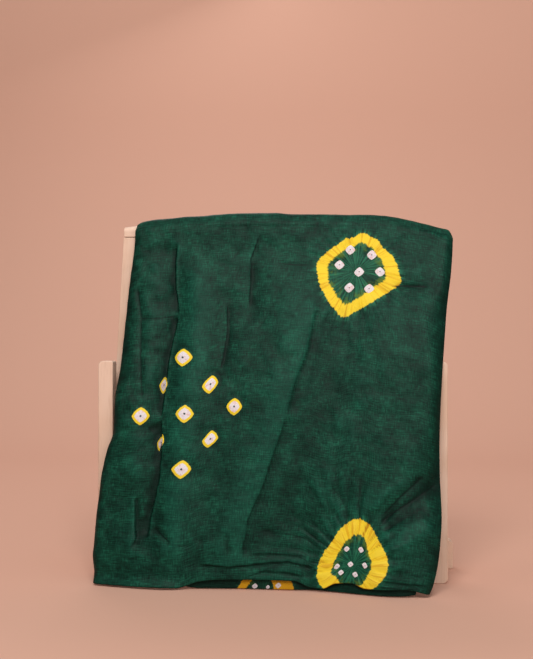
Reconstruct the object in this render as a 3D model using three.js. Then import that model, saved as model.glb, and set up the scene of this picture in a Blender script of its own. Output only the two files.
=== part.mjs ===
// A length of tie-dyed silk on a small wooden display stand.
// The silk is folded back and forth in four layers and hangs over the stand's crest rail,
// with a long front flap that reaches the floor and a shorter one behind.
// Millimetres. +X is the viewer's right, +Y goes away from the viewer and +Z is up.
// The origin is on the floor, under the middle of the whole thing.
import * as THREE from "three";

const SEAT = 0.3; // gap between two pieces of wood that meet
const MIDDLE = 10; // from the legs' front, where the tables have y = 0, back to the middle of the whole

// Stand: board sizes
const STAND_HALF_WIDTH = 193.2;
const BOARD = 16.5; // width of a leg's face
const BOARD_DEPTH = 18;
const LEG_HEIGHT = 240.5;
const LEG_ROUND = 5.5; // outer corners of the front legs
const EASED = 0.8; // eased edges of every board
const SQUARE_CORNER = 2; // the other corners of a board
const SIDE_RAIL = { thick: 6, low: 180, high: 236, back: 62 };
const RUNNER = { outer: 190.5, wide: 16, low: 6, high: 30 };
const REAR_FOOT = { half: 204, front: 76, depth: 18, height: 33 };

// Stand: the two back posts lean back and towards each other, up to the crest rail
const POST = { outerAtFloor: 192.1, outerAtTop: 175, frontAtFloor: 25, frontAtTop: 47, top: 382 };
// The crest rail is crowned, and its right end lies lower than its left end
const CREST = { half: 174.5, front: 46, depth: 22, thick: 11.1, leftEnd: 393.8, rightEnd: 388.4, crown: 12.7 };
const CREST_ROUND = 5.5; // the long upper edges

// Silk
const STRIP_WIDTH = 360; // from side to side
const SHEET = 1.1; // thickness of the folded silk
const PITCH = 2.4; // from the middle of one layer to the middle of the next
const CLEAR = 2.3; // from the innermost face to the rail's front and back
const ROLL = { reach: 12, drop: 3.6 }; // the outer layers' sides roll back over the inner ones
const SHOULDER = 9; // height of the bend over the crest rail
const SQUARENESS = 4.5; // the bend follows the rail's square section
const RELIEF_FADE = { full: 315, none: 372 }; // folds die out below the rail
const TOP_SIDES = { left: -158.5, right: 201.5 }; // the strip's sides on the rail

// Columns across the silk. Near each side, the two inner layers lie inside the two outer ones.
const NEAR_SIDE = [
  { outer: 0, inner: 14.5 },
  { outer: 6, inner: 17 },
  { outer: 12, inner: 19.5 },
  { outer: 22, inner: 22 },
];
const MIDDLE_COLUMNS = 18;

// Stations up the front, over the rail and down the back, as shares of each stretch
const FRONT_SHARES = [0, 0.025, 0.07, 0.14, 0.24, 0.35, 0.46, 0.57, 0.68, 0.78, 0.86, 0.93, 1];
const LEVEL_ABOVE = 0.14; // share of the front above which all the layers have the same stations
const TOP_SHARES = [0.1, 0.25, 0.42, 0.58, 0.75, 0.9];
const BACK_SHARES = [0, 0.45, 1];
const FOLD_TURNS = [0.25, 0.5, 0.75];

// Sides of the front flap, by height
const SIDES = [
  { z: 0, left: -187, right: 168.5 },
  { z: 12, left: -187.8, right: 174 },
  { z: 32, left: -190, right: 179 },
  { z: 50, left: -189.3, right: 181.5 },
  { z: 84, left: -187, right: 184 },
  { z: 115, left: -184, right: 183.2 },
  { z: 143, left: -178.8, right: 183 },
  { z: 163, left: -172.5, right: 183.3 },
  { z: 200, left: -171.8, right: 185 },
  { z: 228, left: -169.2, right: 186.7 },
  { z: 264, left: -167.2, right: 189.7 },
  { z: 300, left: -165.4, right: 193 },
  { z: 340, left: -162.6, right: 198.6 },
  { z: 368, left: -160, right: 200.8 },
  { z: 400, left: -158.5, right: 201.5 },
];
const BACK_SIDES = [
  { z: 140, left: -168, right: 182 },
  { z: 260, left: -166, right: 186 },
  { z: 400, left: -158.5, right: 201.5 },
];

// Depth of the innermost layer's middle down the front flap.
// The columns stand at these shares of the width, from the left side to the right.
const ACROSS = { leftSide: 0, left: 0.22, middle: 0.46, inRight: 0.67, right: 0.91, rightSide: 1 };
const FRONT_DEPTH = [
  { z: 0, leftSide: -36, left: -51, middle: -46, inRight: -49, right: -68, rightSide: -65 },
  { z: 40, leftSide: -30, left: -43.5, middle: -39, inRight: -42, right: -58, rightSide: -57 },
  { z: 90, leftSide: -22.5, left: -32.5, middle: -30, inRight: -33, right: -45, rightSide: -43 },
  { z: 150, leftSide: -13.5, left: -19, middle: -18, inRight: -21, right: -29.5, rightSide: -26 },
  { z: 205, leftSide: -4.5, left: -5.5, middle: -6, inRight: -8, right: -15.5, rightSide: -13.5 },
  { z: 243, leftSide: 7.5, left: 4.5, middle: 4, inRight: 2, right: -6.5, rightSide: -6 },
  { z: 310, leftSide: 25.5, left: 24, middle: 23, inRight: 22, right: 18.5, rightSide: 17.5 },
  { z: 368, leftSide: 40, left: 39.5, middle: 39.5, inRight: 39, right: 38.5, rightSide: 38 },
  { z: 392, leftSide: 43.15, left: 43.15, middle: 43.15, inRight: 43.15, right: 43.15, rightSide: 43.15 },
];
const BACK_DEPTH = [
  { z: 140, leftSide: 78, left: 83, middle: 77, inRight: 83, right: 79, rightSide: 75 },
  { z: 260, leftSide: 76, left: 78, middle: 75, inRight: 78, right: 76, rightSide: 74 },
  { z: 392, leftSide: 70.85, left: 70.85, middle: 70.85, inRight: 70.85, right: 70.85, rightSide: 70.85 },
];

// Top of the bend: how high the innermost layer's middle goes
const TOP_LINE = [
  { x: -160, z: 396.5 },
  { x: -137, z: 399.4 },
  { x: -119, z: 401.1 },
  { x: -102, z: 402.1 },
  { x: -85, z: 403.2 },
  { x: -67, z: 404.2 },
  { x: -33, z: 405 },
  { x: 1, z: 405.1 },
  { x: 36, z: 403.9 },
  { x: 70, z: 402.4 },
  { x: 103, z: 401.7 },
  { x: 137, z: 398.5 },
  { x: 154, z: 395 },
  { x: 170, z: 391.9 },
  { x: 177, z: 390.7 },
  { x: 187, z: 386.8 },
  { x: 203, z: 382.5 },
];

// Lower ends of the layers: the outer fold rises off the floor in places and shows the inner one
const OUTER_FOLD = [
  { x: -192, z: 1.9 },
  { x: -96, z: 1.9 },
  { x: -72, z: 9 },
  { x: -48, z: 11.5 },
  { x: 26, z: 11 },
  { x: 44, z: 5 },
  { x: 60, z: 3.4 },
  { x: 72, z: 10 },
  { x: 88, z: 11.5 },
  { x: 104, z: 7.5 },
  { x: 142, z: 8.5 },
  { x: 160, z: 5.5 },
  { x: 172, z: 2.4 },
];
const INNER_FOLD = [
  { x: -192, z: 7 },
  { x: -96, z: 5 },
  { x: -72, z: 2.2 },
  { x: 116, z: 1.9 },
  { x: 142, z: 2.2 },
  { x: 162, z: 5 },
];
const BACK_ENDS = { outerHem: 150, fold: 166, innerHem: 181 };

// Main folds of the front flap: soft troughs (negative) and ridges (positive) along a line of x and z
const FOLDS = [
  { rise: -5, wide: 16, line: [[-109, 374], [-105, 295], [-114, 220], [-119, 172], [-119, 120], [-126, 60]] },
  { rise: 2.5, wide: 17, line: [[-136, 340], [-142, 235], [-146, 125]] },
  { rise: 3, wide: 20, line: [[-86, 350], [-88, 235], [-95, 115], [-95, 50]] },
  { rise: -2.5, wide: 15, line: [[-50, 305], [-56, 228]] },
  { rise: -3, wide: 15, line: [[-14, 370], [-25, 296]] },
  { rise: 4, wide: 30, line: [[34, 292], [0, 178], [-22, 110], [-40, 48]] },
  { rise: -3.5, wide: 26, line: [[86, 280], [50, 182], [24, 115], [8, 58]] },
  { rise: -2.5, wide: 15, line: [[135, 321], [176, 321]] },
  { rise: -3.5, wide: 16, line: [[113, 66], [130, 80], [158, 103], [181, 116]] },
  { rise: 3, wide: 17, line: [[122, 26], [145, 56], [178, 74]] },
  { rise: -3, wide: 16, line: [[40, 72], [54, 34], [47, 0]] },
];

// Smooth curve through a table's rows, with no overshoot: reads one named column at a place along another
function along(rows, key, at, name) {
  const last = rows.length - 1;
  const place = THREE.MathUtils.clamp(at, rows[0][key], rows[last][key]);
  let i = 0;
  while (i < last - 1 && place > rows[i + 1][key]) i += 1;
  const slope = (a, b) => (rows[b][name] - rows[a][name]) / (rows[b][key] - rows[a][key]);
  const span = rows[i + 1][key] - rows[i][key];
  const t = (place - rows[i][key]) / span;
  const here = slope(i, i + 1);
  const meet = (a, b) => (a * b > 0 ? (2 * a * b) / (a + b) : 0);
  const before = i > 0 ? meet(slope(i - 1, i), here) : here;
  const after = i < last - 1 ? meet(here, slope(i + 1, i + 2)) : here;
  const drift = (1 - t) * (before - here) - t * (after - here);
  return rows[i][name] + span * (here * t + t * (1 - t) * drift);
}

// Depth by height and by share of the width
function depthAt(rows, share, z) {
  const places = Object.keys(ACROSS).map((name) => ({ u: ACROSS[name], y: along(rows, "z", z, name) }));
  return along(places, "u", share, "y");
}

// How far a place on the front flap stands out of the plain drape
function relief(x, z) {
  const { full, none } = RELIEF_FADE;
  let out = 0;
  for (const { rise, wide, line } of FOLDS) {
    let nearest = Infinity;
    for (let i = 0; i + 1 < line.length; i += 1) {
      const [[ax, az], [bx, bz]] = [line[i], line[i + 1]];
      const run = (bx - ax) ** 2 + (bz - az) ** 2;
      const t = THREE.MathUtils.clamp(((x - ax) * (bx - ax) + (z - az) * (bz - az)) / run, 0, 1);
      nearest = Math.min(nearest, Math.hypot(x - ax - t * (bx - ax), z - az - t * (bz - az)));
    }
    out += rise * Math.exp(-((nearest / wide) ** 2));
  }
  return out * (1 - THREE.MathUtils.smoothstep(z, full, none));
}

// A place on the innermost layer's middle surface: 0 to 1 goes up the front, 1 to 2 over the rail
// and 2 to 3 down the back
function drape(share, way) {
  const topX = THREE.MathUtils.lerp(TOP_SIDES.left, TOP_SIDES.right, share);
  const shoulder = along(TOP_LINE, "x", topX, "z") - SHOULDER;
  const front = CREST.front - CLEAR - SHEET / 2;
  const back = CREST.front + CREST.depth + CLEAR + SHEET / 2;
  if (way > 1 && way < 2) {
    const turn = Math.PI * (way - 1);
    const flat = Math.sign(Math.cos(turn)) * Math.abs(Math.cos(turn)) ** (2 / SQUARENESS);
    const y = (front + back) / 2 - (flat * (back - front)) / 2;
    return new THREE.Vector3(topX, y, shoulder + SHOULDER * Math.sin(turn) ** (2 / SQUARENESS));
  }
  const z = shoulder * (way <= 1 ? way : 3 - way);
  const sides = way <= 1 ? SIDES : BACK_SIDES;
  const x = THREE.MathUtils.lerp(along(sides, "z", z, "left"), along(sides, "z", z, "right"), share);
  if (way <= 1) return new THREE.Vector3(x, depthAt(FRONT_DEPTH, share, z) - relief(x, z), z);
  return new THREE.Vector3(x, depthAt(BACK_DEPTH, share, z), z);
}

// The drape's outward direction, and the direction of travel along the section
function directions(share, way) {
  const step = 0.004;
  const across = drape(Math.min(share + step, 1), way).sub(drape(Math.max(share - step, 0), way));
  const travel = drape(share, Math.min(way + step, 3)).sub(drape(share, Math.max(way - step, 0)));
  return { out: across.cross(travel).normalize(), travel: travel.normalize() };
}

// One place on a layer, which lies a number of pitches outside the innermost one
function onLayer(share, way, level, beyond) {
  const place = drape(share, way);
  const { out, travel } = directions(share, way);
  const fromSide = Math.min(share, 1 - share) * STRIP_WIDTH;
  const rolled = 1 - THREE.MathUtils.smoothstep(fromSide, 0, ROLL.reach);
  return place.addScaledVector(out, level * PITCH - ROLL.drop * rolled).addScaledVector(travel, beyond);
}

// The way along the drape at a height of the front or the back, for one share of the width
function wayAt(share, z, front) {
  const topX = THREE.MathUtils.lerp(TOP_SIDES.left, TOP_SIDES.right, share);
  const shoulder = along(TOP_LINE, "x", topX, "z") - SHOULDER;
  return front ? z / shoulder : 3 - z / shoulder;
}

// Distances of the columns from the left side, for the outer layers and for the inner ones
function columns() {
  const last = NEAR_SIDE[NEAR_SIDE.length - 1];
  const list = NEAR_SIDE.map((row) => ({ ...row }));
  for (let i = 1; i < MIDDLE_COLUMNS; i += 1) {
    const at = last.outer + ((STRIP_WIDTH - 2 * last.outer) * i) / MIDDLE_COLUMNS;
    list.push({ outer: at, inner: at });
  }
  for (const row of NEAR_SIDE.toReversed()) {
    list.push({ outer: STRIP_WIDTH - row.outer, inner: STRIP_WIDTH - row.inner });
  }
  return list;
}

// The folded section of one column of the silk, from the outer hem behind to the inner hem behind.
// A tuck of 0 keeps to the outer layers' width and 1 to the inner ones'.
function section(column) {
  const plain = (tuck) => THREE.MathUtils.lerp(column.outer, column.inner, tuck) / STRIP_WIDTH;
  const foldZ = (rows, share) => {
    const x = THREE.MathUtils.lerp(SIDES[0].left, SIDES[0].right, share);
    return along(rows, "x", x, "z");
  };
  const points = [];
  // A layer between its front end and its back end
  const layer = (level, frontRows, backZ, tucks, toFront) => {
    const run = [];
    const add = (tuck, wayOf) => run.push(() => {
      const share = plain(tuck);
      return onLayer(share, wayOf(share), level, 0);
    });
    for (const s of FRONT_SHARES) {
      const lift = Math.max(1 - s / LEVEL_ABOVE, 0);
      add(tucks.front, (share) => s + lift * wayAt(share, foldZ(frontRows, share), true));
    }
    for (const s of TOP_SHARES) add(tucks.front, () => 1 + s);
    for (const s of BACK_SHARES) {
      const tuck = THREE.MathUtils.lerp(tucks.front, tucks.back, s);
      add(tuck, (share) => THREE.MathUtils.lerp(2, wayAt(share, backZ, false), s));
    }
    if (toFront) run.reverse();
    for (const place of run) points.push(place());
  };
  // A fold between two layers: half a turn around the middle between them
  const fold = (level, way, tuck, front) => {
    const share = plain(tuck);
    for (const turn of FOLD_TURNS) {
      const angle = Math.PI * turn;
      const beyond = ((front ? -1 : 1) * Math.sin(angle) * PITCH) / 2;
      points.push(onLayer(share, way(share), level - 0.5 + Math.cos(angle) / 2, beyond));
    }
  };
  layer(3, OUTER_FOLD, BACK_ENDS.outerHem, { front: 0, back: 0 }, true);
  fold(3, (share) => wayAt(share, foldZ(OUTER_FOLD, share), true), 0, true);
  layer(2, OUTER_FOLD, BACK_ENDS.fold, { front: 0, back: 1 }, false);
  fold(2, (share) => wayAt(share, BACK_ENDS.fold, false), 1, false);
  layer(1, INNER_FOLD, BACK_ENDS.fold, { front: 1, back: 1 }, true);
  fold(1, (share) => wayAt(share, foldZ(INNER_FOLD, share), true), 1, true);
  layer(0, INNER_FOLD, BACK_ENDS.innerHem, { front: 1, back: 1 }, false);
  return points;
}

// Closed sheet around a grid of middle points
function sheetGeometry(grid) {
  const columns = grid.length;
  const stations = grid[0].length;
  const places = [];
  const unit = (a, b) => b.clone().sub(a).normalize();
  for (const side of [1, -1]) {
    for (let c = 0; c < columns; c += 1) {
      for (let s = 0; s < stations; s += 1) {
        const here = grid[c][s];
        const before = unit(grid[c][Math.max(s - 1, 0)], here);
        const after = unit(here, grid[c][Math.min(s + 1, stations - 1)]);
        const travel = before.add(after);
        const across = unit(grid[Math.max(c - 1, 0)][s], grid[Math.min(c + 1, columns - 1)][s]);
        const out = travel.cross(across).normalize();
        const place = here.clone().addScaledVector(out, (side * SHEET) / 2);
        places.push(place.x, place.y, place.z);
      }
    }
  }
  const at = (side, c, s) => (side * columns + c) * stations + s;
  const faces = [];
  const quad = (a, b, c, d) => faces.push(a, b, c, a, c, d);
  for (let c = 0; c + 1 < columns; c += 1) {
    for (let s = 0; s + 1 < stations; s += 1) {
      // The shorter diagonal, so that layers that lie together are split the same way
      const rising = grid[c][s].distanceTo(grid[c + 1][s + 1]);
      const falling = grid[c][s + 1].distanceTo(grid[c + 1][s]);
      if (rising < falling) {
        quad(at(0, c, s), at(0, c, s + 1), at(0, c + 1, s + 1), at(0, c + 1, s));
        quad(at(1, c, s), at(1, c + 1, s), at(1, c + 1, s + 1), at(1, c, s + 1));
      } else {
        quad(at(0, c, s + 1), at(0, c + 1, s + 1), at(0, c + 1, s), at(0, c, s));
        quad(at(1, c + 1, s), at(1, c + 1, s + 1), at(1, c, s + 1), at(1, c, s));
      }
    }
    const end = stations - 1;
    quad(at(0, c, 0), at(0, c + 1, 0), at(1, c + 1, 0), at(1, c, 0));
    quad(at(0, c, end), at(1, c, end), at(1, c + 1, end), at(0, c + 1, end));
  }
  for (let s = 0; s + 1 < stations; s += 1) {
    const end = columns - 1;
    quad(at(0, 0, s), at(1, 0, s), at(1, 0, s + 1), at(0, 0, s + 1));
    quad(at(0, end, s), at(0, end, s + 1), at(1, end, s + 1), at(1, end, s));
  }
  const geometry = new THREE.BufferGeometry();
  geometry.setAttribute("position", new THREE.Float32BufferAttribute(places, 3));
  geometry.setIndex(faces);
  geometry.computeVertexNormals();
  return geometry;
}

// Upright board with four corner radii, its face in XZ, its back at y = depth
function board(width, height, depth, round) {
  const shape = new THREE.Shape();
  shape.absarc(width - round.lowRight, round.lowRight, round.lowRight, -Math.PI / 2, 0);
  shape.absarc(width - round.topRight, height - round.topRight, round.topRight, 0, Math.PI / 2);
  shape.absarc(round.topLeft, height - round.topLeft, round.topLeft, Math.PI / 2, Math.PI);
  shape.absarc(round.lowLeft, round.lowLeft, round.lowLeft, Math.PI, 1.5 * Math.PI);
  return standUp(shape, depth, EASED, 6);
}

// Extrudes a face drawn in XZ back along Y, with eased edges
function standUp(shape, depth, eased, curveSegments) {
  const geometry = new THREE.ExtrudeGeometry(shape, {
    depth: depth - 2 * eased,
    bevelThickness: eased,
    bevelSize: eased,
    bevelOffset: -eased,
    bevelSegments: 2,
    curveSegments,
  });
  geometry.translate(0, 0, eased);
  geometry.rotateX(Math.PI / 2);
  return geometry.translate(0, depth, 0);
}

// Height of the crest rail's underside, which slopes evenly from end to end
function crestUnderside(x) {
  const { half, thick, leftEnd, rightEnd } = CREST;
  return THREE.MathUtils.lerp(leftEnd, rightEnd, (x + half) / (2 * half)) - thick;
}

// Crest rail: one section along its length, straight below and crowned above
function crestGeometry() {
  const { half, depth, thick, crown } = CREST;
  const shape = new THREE.Shape();
  shape.moveTo(0, 0);
  shape.lineTo(depth, 0);
  shape.absarc(depth - CREST_ROUND, thick - CREST_ROUND, CREST_ROUND, 0, Math.PI / 2);
  shape.absarc(CREST_ROUND, thick - CREST_ROUND, CREST_ROUND, Math.PI / 2, Math.PI);
  const geometry = new THREE.ExtrudeGeometry(shape, {
    depth: 2 * (half - EASED),
    steps: 14,
    bevelThickness: EASED,
    bevelSize: EASED,
    bevelOffset: -EASED,
    bevelSegments: 2,
    curveSegments: 5,
  });
  geometry.translate(0, 0, EASED - half);
  geometry.rotateX(Math.PI / 2).rotateZ(Math.PI / 2);
  const places = geometry.getAttribute("position");
  for (let i = 0; i < places.count; i += 1) {
    const x = places.getX(i);
    const lift = crown * (1 - (x / half) ** 2);
    places.setZ(i, places.getZ(i) * (1 + lift / thick) + crestUnderside(x));
  }
  geometry.computeVertexNormals();
  return geometry.translate(0, CREST.front, 0);
}

// Back post: a straight board that leans back and inwards
function postGeometry(side) {
  const from = RUNNER.high + SEAT;
  const [outerTop, innerTop] = [side * POST.outerAtTop, side * (POST.outerAtTop - BOARD)];
  const to = Math.min(crestUnderside(outerTop), crestUnderside(innerTop)) - SEAT;
  const height = to - from;
  const geometry = new THREE.BoxGeometry(BOARD, BOARD_DEPTH, height);
  const lean = (POST.frontAtTop - POST.frontAtFloor) / POST.top;
  const taper = (POST.outerAtFloor - POST.outerAtTop) / POST.top;
  const outer = POST.outerAtFloor - taper * (from + height / 2);
  const front = POST.frontAtFloor + lean * (from + height / 2);
  geometry.applyMatrix4(new THREE.Matrix4().makeShear(0, 0, 0, 0, -side * taper, lean));
  return geometry.translate(side * (outer - BOARD / 2), front + BOARD_DEPTH / 2, from + height / 2);
}

const group = new THREE.Group();
const wood = () => new THREE.MeshStandardMaterial({ color: 0xe1bca0, roughness: 0.6, metalness: 0 });
const silk = () => new THREE.MeshStandardMaterial({ color: 0x1f503e, roughness: 0.55, metalness: 0 });

function place(name, geometry, material) {
  const mesh = new THREE.Mesh(geometry, material);
  mesh.name = name;
  group.add(mesh);
  return mesh;
}

function addCloth() {
  place("cloth", sheetGeometry(columns().map(section)), silk());
}

// The pieces of one side of the stand: side is -1 for the left and 1 for the right
function addSide(side, suffix) {
  const corners = side < 0
    ? { lowLeft: LEG_ROUND, topLeft: LEG_ROUND, lowRight: SQUARE_CORNER, topRight: SQUARE_CORNER }
    : { lowRight: LEG_ROUND, topRight: LEG_ROUND, lowLeft: SQUARE_CORNER, topLeft: SQUARE_CORNER };
  const leg = place(`leg_front_${suffix}`, board(BOARD, LEG_HEIGHT, BOARD_DEPTH, corners), wood());
  leg.position.x = side < 0 ? -STAND_HALF_WIDTH : STAND_HALF_WIDTH - BOARD;

  place(`post_${suffix}`, postGeometry(side), wood());

  const taper = (POST.outerAtFloor - POST.outerAtTop) / POST.top;
  const inner = POST.outerAtFloor - taper * SIDE_RAIL.low + SEAT;
  const start = BOARD_DEPTH + SEAT;
  const railSize = [SIDE_RAIL.thick, SIDE_RAIL.back - start, SIDE_RAIL.high - SIDE_RAIL.low];
  const rail = place(`side_rail_${suffix}`, new THREE.BoxGeometry(...railSize), wood());
  rail.position.x = side * (inner + SIDE_RAIL.thick / 2);
  rail.position.y = (SIDE_RAIL.back + start) / 2;
  rail.position.z = (SIDE_RAIL.high + SIDE_RAIL.low) / 2;

  const end = REAR_FOOT.front - SEAT;
  const runnerSize = [RUNNER.wide, end - start, RUNNER.high - RUNNER.low];
  const runner = place(`runner_${suffix}`, new THREE.BoxGeometry(...runnerSize), wood());
  runner.position.x = side * (RUNNER.outer - RUNNER.wide / 2);
  runner.position.y = (end + start) / 2;
  runner.position.z = (RUNNER.high + RUNNER.low) / 2;
}

function addCrossPieces() {
  place("crest_rail", crestGeometry(), wood());
  const [low, top] = [SQUARE_CORNER, LEG_ROUND];
  const corners = { lowLeft: low, lowRight: low, topLeft: top, topRight: top };
  const { half, front, depth, height } = REAR_FOOT;
  const foot = place("rear_foot", board(2 * half, height, depth, corners), wood());
  foot.position.set(-half, front, 0);
}

addCloth();
addSide(-1, "left");
addSide(1, "right");
addCrossPieces();
for (const piece of group.children) piece.position.y -= MIDDLE;

export default group;
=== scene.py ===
"""Looks of a tie-dyed silk that hangs folded over a small wooden display stand.

The silk is made again as a fine sheet on the same folded section as its solid, with its creases, its
gathers around the tied places and its dye pattern. The stand's boards get eased edges and grain.
Sizes in the tables are millimetres, with y = 0 at the front of the legs. Meshes are built in metres.
"""

import math

import bpy
import numpy as np
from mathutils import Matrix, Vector, noise


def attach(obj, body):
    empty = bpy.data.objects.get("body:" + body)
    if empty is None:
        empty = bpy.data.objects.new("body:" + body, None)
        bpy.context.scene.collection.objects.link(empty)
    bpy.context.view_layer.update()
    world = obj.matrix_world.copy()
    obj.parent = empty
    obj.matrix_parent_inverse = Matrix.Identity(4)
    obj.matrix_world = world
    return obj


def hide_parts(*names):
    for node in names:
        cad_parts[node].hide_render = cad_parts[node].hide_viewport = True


MM = 0.001
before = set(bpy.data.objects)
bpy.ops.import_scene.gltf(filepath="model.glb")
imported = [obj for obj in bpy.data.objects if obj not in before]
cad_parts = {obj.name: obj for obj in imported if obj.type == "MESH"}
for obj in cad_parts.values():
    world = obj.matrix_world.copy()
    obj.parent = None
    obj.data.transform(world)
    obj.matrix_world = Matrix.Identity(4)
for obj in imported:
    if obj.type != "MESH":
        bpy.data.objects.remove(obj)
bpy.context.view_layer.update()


def table(columns, *rows):
    """A table's columns by name."""
    return dict(zip(columns.split(), np.array(rows, float).T))


def srgb(r, g, b):
    """A linear colour from 8-bit screen values."""
    channels = [v / 255 for v in (r, g, b)]
    return [v / 12.92 if v <= 0.04045 else ((v + 0.055) / 1.055) ** 2.4 for v in channels] + [1.0]


MIDDLE = 10  # the part's origin lies this far behind the legs' front

# Camera: level, a little to the right, and near enough that the leg tops don't show
AZIMUTH = math.radians(5.5)
CAMERA = {"right": -4.3, "distance": 1235, "height": 275.7}
VIEW_HEIGHT = 724.9  # what the picture's height shows at that distance
SENSOR = 36.0

# Silk: the folded section
STRIP_WIDTH = 360
SHEET = 1.1
PITCH = 2.4
CLEAR = 2.3
SHOULDER = 9
SQUARENESS = 4.5
CREST_FRONT, CREST_DEPTH = 46, 22
TOP_SIDES = (-158.5, 201.5)
RELIEF_FADE = (315, 372)
# Depth of the innermost layer's middle where it bends over the rail, in front and behind
RAIL_FRONT = CREST_FRONT - CLEAR - SHEET / 2
RAIL_BACK = CREST_FRONT + CREST_DEPTH + CLEAR + SHEET / 2
BACK_ENDS = {"outer_hem": 150, "fold": 166, "inner_hem": 181}

SIDES = table(
    "z left right",
    (0, -187, 168.5), (12, -187.8, 174), (32, -190, 179), (50, -189.3, 181.5),
    (84, -187, 184), (115, -184, 183.2), (143, -178.8, 183), (163, -172.5, 183.3),
    (200, -171.8, 185), (228, -169.2, 186.7), (264, -167.2, 189.7), (300, -165.4, 193),
    (340, -162.6, 198.6), (368, -160, 200.8), (400, -158.5, 201.5),
)
BACK_SIDES = table("z left right", (140, -168, 182), (260, -166, 186), (400, -158.5, 201.5))

# Depth of the innermost layer's middle, in columns at these shares of the width
ACROSS = np.array([0, 0.22, 0.46, 0.67, 0.91, 1])
FRONT_DEPTH = table(
    "z c0 c1 c2 c3 c4 c5",
    (0, -36, -51, -46, -49, -68, -65),
    (40, -30, -43.5, -39, -42, -58, -57),
    (90, -22.5, -32.5, -30, -33, -45, -43),
    (150, -13.5, -19, -18, -21, -29.5, -26),
    (205, -4.5, -5.5, -6, -8, -15.5, -13.5),
    (243, 7.5, 4.5, 4, 2, -6.5, -6),
    (310, 25.5, 24, 23, 22, 18.5, 17.5),
    (368, 40, 39.5, 39.5, 39, 38.5, 38),
    (392, *[RAIL_FRONT] * len(ACROSS)),
)
BACK_DEPTH = table(
    "z c0 c1 c2 c3 c4 c5",
    (140, 78, 83, 77, 83, 79, 75),
    (260, 76, 78, 75, 78, 76, 74),
    (392, *[RAIL_BACK] * len(ACROSS)),
)
# The bend over the rail: the innermost layer's middle, and the outermost layer
TOP_LINE = table(
    "x z",
    (-160, 396.5), (-137, 399.4), (-119, 401.1), (-102, 402.1), (-85, 403.2), (-67, 404.2),
    (-33, 405), (1, 405.1), (36, 403.9), (70, 402.4), (103, 401.7), (137, 398.5),
    (154, 395), (170, 391.9), (177, 390.7), (187, 386.8), (203, 382.5),
)
TOP_EDGE = table(
    "x z",
    (-158, 398.7), (-154, 399.8), (-137, 403), (-119, 404), (-102, 405.7), (-85, 406.3),
    (-67, 408), (-33, 409.1), (1, 409.2), (19, 407.6), (70, 406.7), (86, 406.1),
    (103, 406.2), (120, 404.9), (137, 402.8), (154, 399.1), (170, 395), (187, 390.4),
    (196, 388.2), (201, 385),
)
# Lower ends of the two outer layers and of the two inner ones
OUTER_FOLD = table(
    "x z",
    (-192, 1.9), (-96, 1.9), (-72, 9), (-48, 11.5), (26, 11), (44, 5), (60, 3.4),
    (72, 10), (88, 11.5), (104, 7.5), (142, 8.5), (160, 5.5), (172, 2.4),
)
INNER_FOLD = table("x z", (-192, 7), (-96, 5), (-72, 2.2), (116, 1.9), (142, 2.2), (162, 5))

# Main folds, shared by all the layers: how far they stand out, half width, then x and z along the line
FOLDS = [
    (-5, 16, [(-109, 374), (-105, 295), (-114, 220), (-119, 172), (-119, 120), (-126, 60)]),
    (2.5, 17, [(-136, 340), (-142, 235), (-146, 125)]),
    (3, 20, [(-86, 350), (-88, 235), (-95, 115), (-95, 50)]),
    (-2.5, 15, [(-50, 305), (-56, 228)]),
    (-3, 15, [(-14, 370), (-25, 296)]),
    (4, 30, [(34, 292), (0, 178), (-22, 110), (-40, 48)]),
    (-3.5, 26, [(86, 280), (50, 182), (24, 115), (8, 58)]),
    (-2.5, 15, [(135, 321), (176, 321)]),
    (-3.5, 16, [(113, 66), (130, 80), (158, 103), (181, 116)]),
    (3, 17, [(122, 26), (145, 56), (178, 74)]),
    (-3, 16, [(40, 72), (54, 34), (47, 0)]),
]

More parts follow.
